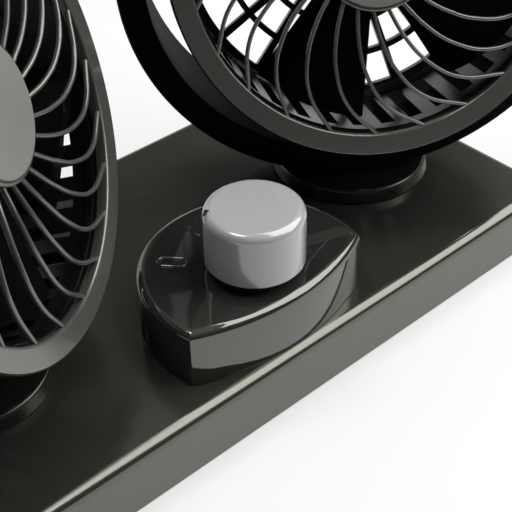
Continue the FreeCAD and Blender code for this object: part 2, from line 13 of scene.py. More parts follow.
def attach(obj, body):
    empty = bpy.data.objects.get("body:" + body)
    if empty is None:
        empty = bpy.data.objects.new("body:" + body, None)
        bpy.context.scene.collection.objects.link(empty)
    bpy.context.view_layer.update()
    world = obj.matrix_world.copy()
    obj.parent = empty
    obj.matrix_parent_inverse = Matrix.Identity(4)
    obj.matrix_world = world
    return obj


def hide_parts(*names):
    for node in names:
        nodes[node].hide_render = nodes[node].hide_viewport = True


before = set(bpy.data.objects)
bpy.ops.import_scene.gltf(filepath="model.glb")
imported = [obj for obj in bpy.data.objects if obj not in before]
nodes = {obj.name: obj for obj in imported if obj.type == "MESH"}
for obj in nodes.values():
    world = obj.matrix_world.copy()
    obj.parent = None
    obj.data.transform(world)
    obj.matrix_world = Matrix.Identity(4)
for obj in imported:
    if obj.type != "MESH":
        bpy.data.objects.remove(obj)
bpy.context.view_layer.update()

# %% [markdown]
# ## The camera
# The photograph was taken from the front left, well above the base, with a long lens close by. We turn the
# camera in three steps: about the upright axis, then down, then a slight lean of the horizon. Multiplying
# the three turns keeps each one readable, where a single set of Euler angles would not.

# %% Set up the camera
camera_place = Vector((-0.15922, -0.21473, 0.23485))
camera_turn = math.radians(-41.52)
camera_drop = math.radians(39.09)
camera_lean = math.radians(-1.0)
camera_data = bpy.data.cameras.new("photo_camera")
camera_data.lens = 82.3
camera_data.sensor_width = 36.0
camera_data.clip_start = 0.01
camera = bpy.data.objects.new("photo_camera", camera_data)
bpy.context.scene.collection.objects.link(camera)
camera.matrix_world = (Matrix.Translation(camera_place)
                       @ Matrix.Rotation(camera_turn, 4, "Z")
                       @ Matrix.Rotation(math.pi / 2 - camera_drop, 4, "X")
                       @ Matrix.Rotation(camera_lean, 4, "Z"))
bpy.context.scene.camera = camera
bpy.context.scene.view_settings.view_transform = "Standard"
print("camera at", [round(v, 3) for v in camera_place])

# %% [markdown]
# ## Helpers for node trees
# Every finish is built from nodes. Three small helpers keep those cells short: one places a node and sets
# its options, one sets plain numbers and colours on a node's own sockets, and one draws the links.

# %% Node helpers
def put(tree, kind, x, y, **options):
    node = tree.nodes.new(kind)
    node.location = (x, y)
    for name, value in options.items():
        setattr(node, name, value)
    return node


def dial(node, **values):
    for name, value in values.items():
        node.inputs[name.replace("_", " ")].default_value = value
    return node


def wire(tree, *pairs):
    for start, end in pairs:
        tree.links.new(start, end)


pure_white = (1.0, 1.0, 1.0, 1.0)
print("node helpers ready")

# %% [markdown]
# ## Floor
# The fan stands on white paper. The camera, and glass, see about half plain white and half the lit paper,
# so the background stays white and the soft shadow at the foot of the base stays too. Mirror rays see the
# paper as a pool of light: white round the fan and fading with distance, as under one soft box. That puts
# the dark line at the horizon into every shiny face. Bounced light sees a greyer sheet, so the white look
# adds no light to the object.

# %% Make the floor
floor_size = 1.7
bpy.ops.object.select_all(action="DESELECT")
bpy.ops.mesh.primitive_plane_add(size=floor_size, location=(0.0, 0.0, 0.0))
floor = bpy.context.object
floor.name = "paper_floor"
print("floor", floor.dimensions[:])

# %% Make the paper
seen_paper, bounced_paper = (0.90, 0.90, 0.895, 1.0), (0.55, 0.55, 0.545, 1.0)
white_share, mirror_share = 0.52, 0.75
pool_edge, pool_end, pool_dark = 0.22, 0.70, 0.06
paper = bpy.data.materials.new("white_paper")
paper.use_nodes = True
tree = paper.node_tree
tree.nodes.clear()
lit = put(tree, "ShaderNodeBsdfDiffuse", -300, 0)
sheet = put(tree, "ShaderNodeMix", -500, 0, data_type="RGBA")
sheet.inputs["A"].default_value = seen_paper
sheet.inputs["B"].default_value = bounced_paper
white = dial(put(tree, "ShaderNodeEmission", -300, -150), Color=pure_white, Strength=1.0)
place = put(tree, "ShaderNodeTexCoord", -1100, -350)
away = put(tree, "ShaderNodeVectorMath", -900, -350, operation="LENGTH")
fade = put(tree, "ShaderNodeMapRange", -700, -350, interpolation_type="SMOOTHSTEP")
dial(fade, From_Min=pool_edge, From_Max=pool_end, To_Min=1.0, To_Max=pool_dark)
pool = dial(put(tree, "ShaderNodeEmission", -300, -350), Strength=1.0)
path = put(tree, "ShaderNodeLightPath", -900, 200)
seen = put(tree, "ShaderNodeMath", -650, 250, operation="MAXIMUM")
mostly = put(tree, "ShaderNodeMath", -300, 250, operation="MULTIPLY")
mostly.inputs[1].default_value = white_share
mirrored = put(tree, "ShaderNodeMath", -300, 100, operation="MULTIPLY")
mirrored.inputs[1].default_value = mirror_share
blend = put(tree, "ShaderNodeMixShader", -80, 0)
pooled = put(tree, "ShaderNodeMixShader", 100, -100)
out = put(tree, "ShaderNodeOutputMaterial", 300, 0)
print("paper", len(tree.nodes), "nodes")

# %% Wire the paper
wire(tree,
     (place.outputs["Object"], away.inputs[0]),
     (away.outputs["Value"], fade.inputs["Value"]),
     (fade.outputs[0], pool.inputs["Color"]),
     (path.outputs["Is Camera Ray"], seen.inputs[0]),
     (path.outputs["Is Transmission Ray"], seen.inputs[1]),
     (seen.outputs[0], mostly.inputs[0]),
     (path.outputs["Is Glossy Ray"], mirrored.inputs[0]),
     (path.outputs["Is Diffuse Ray"], sheet.inputs["Factor"]),
     (sheet.outputs["Result"], lit.inputs["Color"]),
     (mostly.outputs[0], blend.inputs[0]),
     (lit.outputs[0], blend.inputs[1]),
     (white.outputs[0], blend.inputs[2]),
     (mirrored.outputs[0], pooled.inputs[0]),
     (blend.outputs[0], pooled.inputs[1]),
     (pool.outputs[0], pooled.inputs[2]),
     (pooled.outputs[0], out.inputs[0]))
floor.data.materials.append(paper)
print("paper", len(tree.links), "links")

# %% [markdown]
# ## Studio around the table
# Shiny black plastic shows what stands around it more than its own colour. In the photograph its upright
# faces mirror the white table, its flat tops mirror a mid grey room, and a dark line runs between the two.
# Two pale walls at the back, one on the left and one low on the right, give the far edges and the insides
# of the heads their lines. So the world is white to the camera, grey to mirror rays with a dark band at the
# horizon and those two walls, and an even fill for everything else. The ramp lists the grey at each height,
# from the horizon to straight up. A wall is a direction, and the two closenesses to it between which the
# wall fades in.

# %% Make the room that mirror rays see
fill_light, wall_light = 0.06, 0.75
room_greys = ((0.25, 0.04), (0.50, 0.07), (0.62, 0.13), (0.80, 0.20))
pale_walls = (((-0.15, 0.95, 0.28), 0.85, 0.96), ((0.74, 0.67, 0.02), 0.86, 0.94))
world = bpy.data.worlds.new("studio_room")
bpy.context.scene.world = world
world.use_nodes = True
tree = world.node_tree
tree.nodes.clear()
look = put(tree, "ShaderNodeTexCoord", -1100, 0)
split = put(tree, "ShaderNodeSeparateXYZ", -900, 0)
room = put(tree, "ShaderNodeValToRGB", -700, 0)
stops = room.color_ramp.elements
stops[0].position, stops[0].color = 0.00, (0.04, 0.04, 0.04, 1.0)
stops[1].position, stops[1].color = 0.95, (0.35, 0.35, 0.35, 1.0)
for height, grey in room_greys:
    stop = stops.new(height)
    stop.color = (grey, grey, grey, 1.0)
walls = []
for toward, start, full in pale_walls:
    row = -300 * (len(walls) + 1)
    aim = put(tree, "ShaderNodeVectorMath", -1000, row, operation="DOT_PRODUCT")
    aim.inputs[1].default_value = toward
    wall = put(tree, "ShaderNodeMapRange", -800, row, interpolation_type="SMOOTHSTEP")
    dial(wall, From_Min=start, From_Max=full, To_Min=0.0, To_Max=wall_light)
    wire(tree, (look.outputs["Generated"], aim.inputs[0]), (aim.outputs["Value"], wall.inputs["Value"]))
    walls.append(wall)
print("room stops", len(stops), "pale walls", len(walls))

# %% Join the room, the fill and the white background
fill = dial(put(tree, "ShaderNodeBackground", -400, 200), Color=pure_white, Strength=fill_light)
mirror = dial(put(tree, "ShaderNodeBackground", -250, 0), Strength=1.0)
white = dial(put(tree, "ShaderNodeBackground", -400, -150), Color=pure_white, Strength=1.0)
pale_wall = put(tree, "ShaderNodeMath", -600, -300, operation="MAXIMUM")
room_wall = put(tree, "ShaderNodeMix", -450, 0, data_type="RGBA", blend_type="LIGHTEN")
room_wall.inputs["Factor"].default_value = 1.0
path = put(tree, "ShaderNodeLightPath", -700, 450)
clear = put(tree, "ShaderNodeMath", -400, 450, operation="MAXIMUM")
indoors = put(tree, "ShaderNodeMixShader", -150, 100)
shown = put(tree, "ShaderNodeMixShader", 50, 0)
out = put(tree, "ShaderNodeOutputWorld", 250, 0)
wire(tree,
     (look.outputs["Generated"], split.inputs[0]),
     (split.outputs["Z"], room.inputs[0]),
     (walls[0].outputs[0], pale_wall.inputs[0]),
     (walls[1].outputs[0], pale_wall.inputs[1]),
     (room.outputs[0], room_wall.inputs["A"]),
     (pale_wall.outputs[0], room_wall.inputs["B"]),
     (room_wall.outputs["Result"], mirror.inputs[0]),
     (path.outputs["Is Glossy Ray"], indoors.inputs[0]),
     (fill.outputs[0], indoors.inputs[1]),
     (mirror.outputs[0], indoors.inputs[2]),
     (path.outputs["Is Camera Ray"], clear.inputs[0]),
     (path.outputs["Is Transmission Ray"], clear.inputs[1]),
     (clear.outputs[0], shown.inputs[0]),
     (indoors.outputs[0], shown.inputs[1]),
     (white.outputs[0], shown.inputs[2]),
     (shown.outputs[0], out.inputs[0]))
print("world", len(tree.nodes), "nodes")

# %% [markdown]
# ## Lamps
# The photograph has one large soft box on the right, in front and high up. Its reflection is the broad
# bright line along the front edges, and it leaves the faces on the left almost black. A smaller box above
# on the left draws the thin lines on the far edges and the second glint on the knob.

# %% Hang the lamps
lamp_target = Vector((0.0, -0.02, 0.05))


def soft_box(name, place, width, height, power):
    data = bpy.data.lights.new(name, "AREA")
    data.shape = "RECTANGLE"
    data.size, data.size_y, data.energy = width, height, power
    lamp = bpy.data.objects.new(name, data)
    bpy.context.scene.collection.objects.link(lamp)
    aim = lamp_target - Vector(place)
    lamp.matrix_world = Matrix.Translation(place) @ aim.to_track_quat("-Z", "Y").to_matrix().to_4x4()
    print(name, "power", power)


soft_box("right_key_box", (0.70, -0.26, 0.90), width=1.45, height=1.1, power=20.0)
soft_box("overhead_box", (-0.16, 0.22, 1.05), width=0.28, height=0.28, power=2.6)

# %% [markdown]
# ## Shared surface effects
# The finishes share three effects, each made once as a node group. Moulded skin is the faint unevenness
# that a steel mould leaves: a fine peel for the bump and broad clouds for the gloss. Hairline scuffs are
# the thin marks of wiping. Settled dust lies on what faces up.

# %% Moulded skin group
def new_group(name, inputs, outputs):
    group = bpy.data.node_groups.new(name, "ShaderNodeTree")
    for label, kind, start in inputs:
        socket = group.interface.new_socket(name=label, in_out="INPUT", socket_type=kind)
        if start is not None:
            socket.default_value = start
    for label, kind in outputs:
        group.interface.new_socket(name=label, in_out="OUTPUT", socket_type=kind)
    return group, put(group, "NodeGroupInput", -1000, 0), put(group, "NodeGroupOutput", 600, 0)


skin, given, gives = new_group(
    "moulded_skin",
    (("Place", "NodeSocketVector", None), ("Peel", "NodeSocketFloat", 900.0),
     ("Cloud", "NodeSocketFloat", 45.0)),
    (("Height", "NodeSocketFloat"), ("Clouds", "NodeSocketFloat")))
peel = dial(put(skin, "ShaderNodeTexNoise", -500, 150), Detail=3.0, Roughness=0.55)
cloud = dial(put(skin, "ShaderNodeTexNoise", -500, -150), Detail=4.0, Roughness=0.6, Distortion=0.4)
wire(skin,
     (given.outputs["Place"], peel.inputs["Vector"]),
     (given.outputs["Peel"], peel.inputs["Scale"]),
     (given.outputs["Place"], cloud.inputs["Vector"]),
     (given.outputs["Cloud"], cloud.inputs["Scale"]),
     (peel.outputs[0], gives.inputs["Height"]),
     (cloud.outputs[0], gives.inputs["Clouds"]))
print("group", skin.name, len(skin.nodes), "nodes")

# %% Hairline scuffs group
hairline = 0.006
scuff_lays = ((0.6, (0.06, 1.0, 1.0)), (2.1, (0.05, 1.0, 0.8)))
scuff, given, gives = new_group(
    "hairline_scuffs",
    (("Place", "NodeSocketVector", None), ("Closeness", "NodeSocketFloat", 60.0)),
    (("Mask", "NodeSocketFloat"),))
lines = []
for turn, stretch in scuff_lays:
    row = 300 * turn
    lay = put(scuff, "ShaderNodeMapping", -750, row)
    dial(lay, Rotation=(0.4, 0.2, turn), Scale=stretch)
    grain = dial(put(scuff, "ShaderNodeTexNoise", -550, row), Detail=1.0, Roughness=0.4)
    middle = put(scuff, "ShaderNodeMath", -350, row, operation="SUBTRACT")
    middle.inputs[1].default_value = 0.5
    size = put(scuff, "ShaderNodeMath", -200, row, operation="ABSOLUTE")
    thin = put(scuff, "ShaderNodeMapRange", -50, row, interpolation_type="SMOOTHSTEP")
    dial(thin, From_Min=0.0, From_Max=hairline, To_Min=1.0, To_Max=0.0)
    wire(scuff,
         (given.outputs["Place"], lay.inputs["Vector"]),
         (lay.outputs[0], grain.inputs["Vector"]),
         (given.outputs["Closeness"], grain.inputs["Scale"]),
         (grain.outputs[0], middle.inputs[0]),
         (middle.outputs[0], size.inputs[0]),
         (size.outputs[0], thin.inputs["Value"]))
    lines.append(thin)
print("scuffs run", len(lines), "ways")

# %% Keep the scuffs in patches
both = put(scuff, "ShaderNodeMath", 150, 300, operation="MAXIMUM")
where = dial(put(scuff, "ShaderNodeTexNoise", -350, -250), Scale=38.0, Detail=2.0)
some = dial(put(scuff, "ShaderNodeMapRange", -50, -250), From_Min=0.45, From_Max=0.7)
kept = put(scuff, "ShaderNodeMath", 350, 100, operation="MULTIPLY")
wire(scuff,
     (lines[0].outputs[0], both.inputs[0]),
     (lines[1].outputs[0], both.inputs[1]),
     (given.outputs["Place"], where.inputs["Vector"]),
     (where.outputs[0], some.inputs["Value"]),
     (both.outputs[0], kept.inputs[0]),
     (some.outputs[0], kept.inputs[1]),
     (kept.outputs[0], gives.inputs["Mask"]))
print("group", scuff.name, len(scuff.nodes), "nodes")

# %% Settled dust group
dust, given, gives = new_group(
    "settled_dust",
    (("Place", "NodeSocketVector", None), ("Specks", "NodeSocketFloat", 700.0)),
    (("Mask", "NodeSocketFloat"),))
facing = put(dust, "ShaderNodeNewGeometry", -800, 250)
upward = put(dust, "ShaderNodeSeparateXYZ", -600, 250)
lies = dial(put(dust, "ShaderNodeMapRange", -400, 250), From_Min=0.35, From_Max=1.0)
speck = dial(put(dust, "ShaderNodeTexVoronoi", -600, -50), Randomness=1.0)
dot = put(dust, "ShaderNodeMapRange", -400, -50)
dial(dot, From_Min=0.05, From_Max=0.16, To_Min=1.0, To_Max=0.0)
haze = dial(put(dust, "ShaderNodeTexNoise", -600, -300), Scale=24.0, Detail=5.0, Roughness=0.65)
patch = dial(put(dust, "ShaderNodeMapRange", -400, -300), From_Min=0.48, From_Max=0.75)
grains = put(dust, "ShaderNodeMath", -150, -100, operation="MULTIPLY")
settled = put(dust, "ShaderNodeMath", 100, 50, operation="MULTIPLY")
wire(dust,
     (facing.outputs["Normal"], upward.inputs[0]),
     (upward.outputs["Z"], lies.inputs["Value"]),
     (given.outputs["Place"], speck.inputs["Vector"]),
     (given.outputs["Specks"], speck.inputs["Scale"]),
     (speck.outputs["Distance"], dot.inputs["Value"]),
     (given.outputs["Place"], haze.inputs["Vector"]),
     (haze.outputs[0], patch.inputs["Value"]),
     (dot.outputs[0], grains.inputs[0]),
     (patch.outputs[0], grains.inputs[1]),
     (grains.outputs[0], settled.inputs[0]),
     (lies.outputs[0], settled.inputs[1]),
     (settled.outputs[0], gives.inputs["Mask"]))
print("group", dust.name, len(dust.nodes), "nodes")

# %% [markdown]
# ## Plastics
# Most of the fan is injection moulded. One function builds every plastic from the three effects: clouds
# move the colour between two near shades and the roughness between two values, scuffs and dust dull it
# further, and the peel drives a very shallow bump. A plastic's roughness is given as a pair, for its
# glossiest and dullest spots, and its bump depth in metres. Numbers that stay the same all over go straight
# on the shader.

# %% Start of a finish
def new_finish(name, dark, light, shade_x):
    finish = bpy.data.materials.new(name)
    finish.use_nodes = True
    tree = finish.node_tree
    tree.nodes.clear()
    shade = put(tree, "ShaderNodeMix", shade_x, 300, data_type="RGBA")
    shade.inputs["A"].default_value = (*dark, 1.0)
    shade.inputs["B"].default_value = (*light, 1.0)
    return finish, tree, shade


print("finish starter ready")

# %% Plastic finish
neutral = (1.0, 1.0, 1.0)
dust_grey = (0.32, 0.31, 0.29, 1.0)
cloud_low, cloud_high = 0.3, 0.7
plastic_bump = 0.35


def plastic(name, dark, light, rough, peel, depth, dusty, ior=1.5, tint=neutral, scuffed=0.05,
            coat=0.0, coat_rough=0.03, coat_ior=1.5):
    finish, tree, shade = new_finish(name, dark, light, -700)
    place = put(tree, "ShaderNodeTexCoord", -1400, 0)
    skin_node = dial(put(tree, "ShaderNodeGroup", -1100, 200, node_tree=skin), Peel=peel)
    scuff_node = put(tree, "ShaderNodeGroup", -1100, -100, node_tree=scuff)
    dust_node = put(tree, "ShaderNodeGroup", -1100, -350, node_tree=dust)
    dusted = put(tree, "ShaderNodeMix", -400, 300, data_type="RGBA")
    dusted.inputs["B"].default_value = dust_grey
    some_dust = put(tree, "ShaderNodeMath", -700, 60, operation="MULTIPLY")
    some_dust.inputs[1].default_value = dusty
    gloss = put(tree, "ShaderNodeMapRange", -700, -120)
    dial(gloss, From_Min=cloud_low, From_Max=cloud_high, To_Min=rough[0], To_Max=rough[1])
    marks = put(tree, "ShaderNodeMath", -700, -380, operation="MULTIPLY")
    marks.inputs[1].default_value = scuffed
    rough_marks = put(tree, "ShaderNodeMath", -450, -200, operation="ADD")
    rough_dust = put(tree, "ShaderNodeMath", -250, -200, operation="ADD", use_clamp=True)
    bump = dial(put(tree, "ShaderNodeBump", -450, -450), Strength=plastic_bump, Distance=depth)
    body = put(tree, "ShaderNodeBsdfPrincipled", 0, 0)
    dial(body, IOR=ior, Specular_Tint=(*tint, 1.0),
         Coat_Weight=coat, Coat_Roughness=coat_rough, Coat_IOR=coat_ior)
    out = put(tree, "ShaderNodeOutputMaterial", 300, 0)
    for node in (skin_node, scuff_node, dust_node):
        wire(tree, (place.outputs["Object"], node.inputs["Place"]))
    wire(tree,
         (skin_node.outputs["Clouds"], shade.inputs["Factor"]),
         (skin_node.outputs["Clouds"], gloss.inputs["Value"]),
         (skin_node.outputs["Height"], bump.inputs["Height"]),
         (dust_node.outputs["Mask"], some_dust.inputs[0]),
         (some_dust.outputs[0], dusted.inputs["Factor"]),
         (shade.outputs["Result"], dusted.inputs["A"]),
         (scuff_node.outputs["Mask"], marks.inputs[0]),
         (gloss.outputs[0], rough_marks.inputs[0]),
         (marks.outputs[0], rough_marks.inputs[1]),
         (rough_marks.outputs[0], rough_dust.inputs[0]),
         (some_dust.outputs[0], rough_dust.inputs[1]),
         (dusted.outputs["Result"], body.inputs["Base Color"]),
         (rough_dust.outputs[0], body.inputs["Roughness"]),
         (bump.outputs[0], body.inputs["Normal"]),
         (body.outputs[0], out.inputs[0]))
    print("plastic", name)
    return finish


print("plastic helper ready")

# %% [markdown]
# ## The fan's own plastics
# The outer shells are polished and the grille has a fine even texture. The yokes, the bezels' rims and
# skirts, the drums, the rear guards and the blades are a deeper black than the shell, as painted shade for
# what lies inside and behind the heads. Black plastics differ mostly in how much they mirror, so each has its
# own index of refraction, and a slightly warm tint where the photograph's reflections are warm.

# %% Mix the plastics
warm = (1.0, 0.985, 0.86)
faintly_warm = (1.0, 0.99, 0.92)
warm_grey = (1.0, 0.99, 0.90)
finishes = {
    "black_gloss": plastic("gloss_black_shell", (0.021, 0.0205, 0.019), (0.029, 0.0285, 0.026),
                           rough=(0.03, 0.06), peel=420.0, depth=0.00001, dusty=0.03,
                           ior=2.05, tint=faintly_warm),
    "black_base": plastic("polished_black_base", (0.026, 0.0252, 0.0222), (0.036, 0.0350, 0.0310),
                          rough=(0.15, 0.20), peel=700.0, depth=0.000001, dusty=0.03, ior=2.0, tint=warm),
    "black_satin": plastic("satin_black_moulding", (0.012, 0.012, 0.012), (0.020, 0.020, 0.019),
                           rough=(0.28, 0.42), peel=1800.0, depth=0.00006, dusty=0.10),
    "grille_face": plastic("spark_textured_grille", (0.071, 0.076, 0.068), (0.087, 0.092, 0.083),
                           rough=(0.15, 0.21), peel=2600.0, depth=0.000004, dusty=0.04,
                           ior=2.0, tint=warm_grey, scuffed=0.02),
    # Painted shade: the yoke black is darker than the shell and barely mirrors, so the yokes read black in
    # the shade round the heads.
    "yoke_painted_shade": plastic("yoke_black_painted_shade", (0.004, 0.004, 0.004), (0.006, 0.006, 0.006),
                          rough=(0.42, 0.52), peel=900.0, depth=0.00003, dusty=0.03, ior=1.07),
    # Painted shade: the skirt black is darker still and barely mirrors, for the rims and skirts of the
    # bezels.
    "skirt_painted_shade": plastic("skirt_black_painted_shade", (0.003, 0.003, 0.003), (0.006, 0.006, 0.006),
                           rough=(0.30, 0.40), peel=1600.0, depth=0.00002, dusty=0.02, ior=1.12),
    # Painted shade: the drum black is darker than the shell, so the drums and rear guards stay black inside
    # and behind the heads.
    "drum_painted_shade": plastic("drum_black_painted_shade", (0.005, 0.005, 0.005), (0.008, 0.008, 0.008),
                          rough=(0.20, 0.28), peel=1600.0, depth=0.00002, dusty=0.03),
    "table_black": plastic("soft_black_turntable", (0.010, 0.010, 0.009), (0.015, 0.015, 0.014),
                           rough=(0.20, 0.28), peel=900.0, depth=0.00002, dusty=0.03,
                           ior=1.6, tint=faintly_warm),
    # Painted shade: the blade black is darker than the shell and barely mirrors, so the blades stay black
    # inside the heads.
    "blade_painted_shade": plastic("blades_black_painted_shade", (0.003, 0.003, 0.003), (0.005, 0.005, 0.005),
                           rough=(0.40, 0.50), peel=1600.0, depth=0.00003, dusty=0.03, ior=1.08),
    "grey_gloss": plastic("gloss_grey_knob", (0.455, 0.453, 0.457), (0.490, 0.488, 0.492),
                          rough=(0.14, 0.22), peel=500.0, depth=0.00001, dusty=0.04,
                          coat=1.0, coat_rough=0.09, coat_ior=1.65),
    "grey_satin": plastic("satin_grey_badge", (0.220, 0.223, 0.207), (0.250, 0.254, 0.235),
                          rough=(0.34, 0.48), peel=2200.0, depth=0.00004, dusty=0.10),
    "dark_nylon": plastic("dark_nylon", (0.020, 0.020, 0.019), (0.032, 0.031, 0.030),
                          rough=(0.42, 0.58), peel=2600.0, depth=0.00008, dusty=0.08),
    "black_rubber": plastic("black_rubber", (0.013, 0.013, 0.013), (0.022, 0.022, 0.021),
                            rough=(0.62, 0.80), peel=3200.0, depth=0.00010, dusty=0.20),
    "foam_tape": plastic("closed_cell_foam", (0.016, 0.016, 0.017), (0.034, 0.034, 0.035),
                         rough=(0.80, 0.95), peel=1500.0, depth=0.00030, dusty=0.05),
}

# %% [markdown]
# ## Metals
# Only screws, the switch stem and the motor are metal. Turned steel carries fine rings and drawn steel fine
# lines, so the roughness follows a stretched noise and the colour shifts a little with the broad clouds.

# %% Metal finish
metal_bump, metal_depth = 0.2, 0.00003


def metal(name, dark, light, rough, lay):
    finish, tree, shade = new_finish(name, dark, light, -500)
    place = put(tree, "ShaderNodeTexCoord", -1200, 0)
    drawn = dial(put(tree, "ShaderNodeMapping", -1000, 0), Scale=lay)
    grain = dial(put(tree, "ShaderNodeTexNoise", -800, 0), Scale=1400.0, Detail=3.0, Roughness=0.6)
    skin_node = put(tree, "ShaderNodeGroup", -800, 300, node_tree=skin)
    gloss = put(tree, "ShaderNodeMapRange", -500, 0)
    dial(gloss, From_Min=cloud_low, From_Max=cloud_high, To_Min=rough[0], To_Max=rough[1])
    bump = dial(put(tree, "ShaderNodeBump", -500, -250), Strength=metal_bump, Distance=metal_depth)
    body = dial(put(tree, "ShaderNodeBsdfPrincipled", 0, 0), Metallic=1.0)
    out = put(tree, "ShaderNodeOutputMaterial", 300, 0)
    wire(tree,
         (place.outputs["Object"], drawn.inputs["Vector"]),
         (place.outputs["Object"], skin_node.inputs["Place"]),
         (drawn.outputs[0], grain.inputs["Vector"]),
         (skin_node.outputs["Clouds"], shade.inputs["Factor"]),
         (grain.outputs[0], gloss.inputs["Value"]),
         (grain.outputs[0], bump.inputs["Height"]),
         (shade.outputs["Result"], body.inputs["Base Color"]),
         (gloss.outputs[0], body.inputs["Roughness"]),
         (bump.outputs[0], body.inputs["Normal"]),
         (body.outputs[0], out.inputs[0]))
    print("metal", name)
    return finish


finishes["steel"] = metal("turned_steel", (0.42, 0.42, 0.41), (0.60, 0.60, 0.59),
                          rough=(0.20, 0.38), lay=(1.0, 1.0, 0.1))
finishes["motor_steel"] = metal("drawn_motor_can", (0.36, 0.36, 0.37), (0.52, 0.52, 0.53),
                                rough=(0.26, 0.44), lay=(0.1, 1.0, 1.0))

# %% [markdown]
# ## Dress the CAD nodes
# The record names a finish for every node. Each node's material slot takes the finish of that name, or the
# one listed here for its kind of piece: a darker black with painted shade for the yoke, drum, rear guard and
# impeller, and a softer black for the turntable. The mesh itself stays as the CAD made it.

# %% Give each node its finish
# The yoke, drum, rear guard and impeller take blacks with painted shade.
own_finish = {"yoke": "yoke_painted_shade", "drum": "drum_painted_shade", "rear_guard": "drum_painted_shade",
              "impeller": "blade_painted_shade", "turntable": "table_black"}
for name, node in nodes.items():
    slot_name = node.data.materials[0].name.split(".")[0]
    piece_name = name.split("_", 1)[-1]
    node.material_slots[0].material = finishes[own_finish.get(piece_name, slot_name)]
print("dressed", len(nodes), "nodes")

# %% [markdown]
# ## Picking by place
# An operator acts on whatever is selected, so every step starts from an empty selection. One helper takes
# hold of a single piece. Another picks a mesh's points or faces by a test on their place or normal, and
# leaves the piece in edit mode. A third puts a piece in its place, writes that place into the mesh and
# smooths the shading. Drawings are in millimetres and Blender works in metres, so sizes from here on are
# millimetres times MM.

# %% Picking helpers
MM = 0.001


def take(piece):
    bpy.ops.object.select_all(action="DESELECT")
    piece.select_set(True)
    bpy.context.view_layer.objects.active = piece


def pick(piece, kind, wanted):
    bpy.ops.object.mode_set(mode="EDIT")
    bpy.ops.mesh.select_mode(type=kind)
    bpy.ops.mesh.select_all(action="DESELECT")
    bpy.ops.object.mode_set(mode="OBJECT")
    for part in piece.data.polygons if kind == "FACE" else piece.data.vertices:
        part.select = wanted(part)
    bpy.ops.object.mode_set(mode="EDIT")


def settle(piece, place, crease):
    take(piece)
    piece.matrix_world = place
    bpy.ops.object.transform_apply(location=True, rotation=True, scale=True)
    bpy.ops.object.shade_smooth_by_angle(angle=math.radians(crease))


print("picking helpers ready")

# %% [markdown]
# ## Turning on the lathe
# Bezel, hub, badge and knob are all round. Blender's screw and spin tools could turn a profile, but lifting
# a circle from ring to ring keeps the faces in clean quads and every ring easy to find again. So one helper
# starts from a circle, extrudes it through a list of radius and height pairs in millimetres, and either
# bridges the last ring to the first or leaves the caps that came with the first face. A second helper picks
# whole rings by their radius and height and rounds them.

# %% Lathe helpers
ring_slack = 0.02


def turned(name, rings, hollow, steps):
    bpy.ops.object.select_all(action="DESELECT")
    radius, height = rings[0]
    bpy.ops.mesh.primitive_circle_add(vertices=steps, radius=radius * MM, location=(0.0, 0.0, height * MM),
                                      fill_type="NOTHING" if hollow else "NGON")
    piece = bpy.context.object
    piece.name = name
    bpy.ops.object.transform_apply(location=True, rotation=True, scale=True)
    bpy.ops.object.mode_set(mode="EDIT")
    bpy.ops.mesh.select_all(action="SELECT")
    for wide, high in rings[1:]:
        lift, grow = (high - height) * MM, wide / radius
        bpy.ops.mesh.extrude_region_move(TRANSFORM_OT_translate={"value": (0.0, 0.0, lift)})
        bpy.ops.transform.resize(value=(grow, grow, 1.0), center_override=(0.0, 0.0, 0.0))
        radius, height = wide, high
    if hollow:
        bpy.ops.mesh.select_mode(type="EDGE")
        bpy.ops.mesh.select_all(action="DESELECT")
        bpy.ops.mesh.select_non_manifold()
        bpy.ops.mesh.bridge_edge_loops()
    bpy.ops.mesh.select_all(action="SELECT")
    bpy.ops.mesh.normals_make_consistent(inside=False)
    bpy.ops.object.mode_set(mode="OBJECT")
    return piece


def round_rings(piece, rings, size, segments):
    def on_ring(point):
        radius, height = math.hypot(point.co.x, point.co.y) / MM, point.co.z / MM
        return any(abs(radius - wide) < ring_slack and abs(height - high) < ring_slack
                   for wide, high in rings)

    pick(piece, "VERT", on_ring)
    bpy.ops.mesh.select_mode(type="EDGE")
    bpy.ops.mesh.bevel(offset=size * MM, segments=segments, affect="EDGES", clamp_overlap=True)
    bpy.ops.object.mode_set(mode="OBJECT")


print("lathe helpers ready")

# %% [markdown]
# ## One grille rib
# Each head looks out through 24 thin ribs that leave the hub straight and sweep round to the bezel, bulging
# forward on the way. A rib is a rounded bar along a curve, so a Bezier curve with a bevel gives it
# directly: the bevel rounds its front and back, and the curve's extrusion makes it deeper than it is wide.
# It is made once, turned into a mesh, and then spun round the axis as 24 copies. The path lists radius in
# millimetres, sweep in degrees and bulge in millimetres.

# %% Rib helper
rib_count = 24
rib_path = ((16.0, 0.0, -0.98), (24.8, 6.8, 0.71), (33.6, 13.65, 1.35), (42.4, 22.4, 0.95),
            (51.2, 34.95, -0.50))
rib_half_width = 0.56
rib_half_depth = 0.74
face_height = 24.0


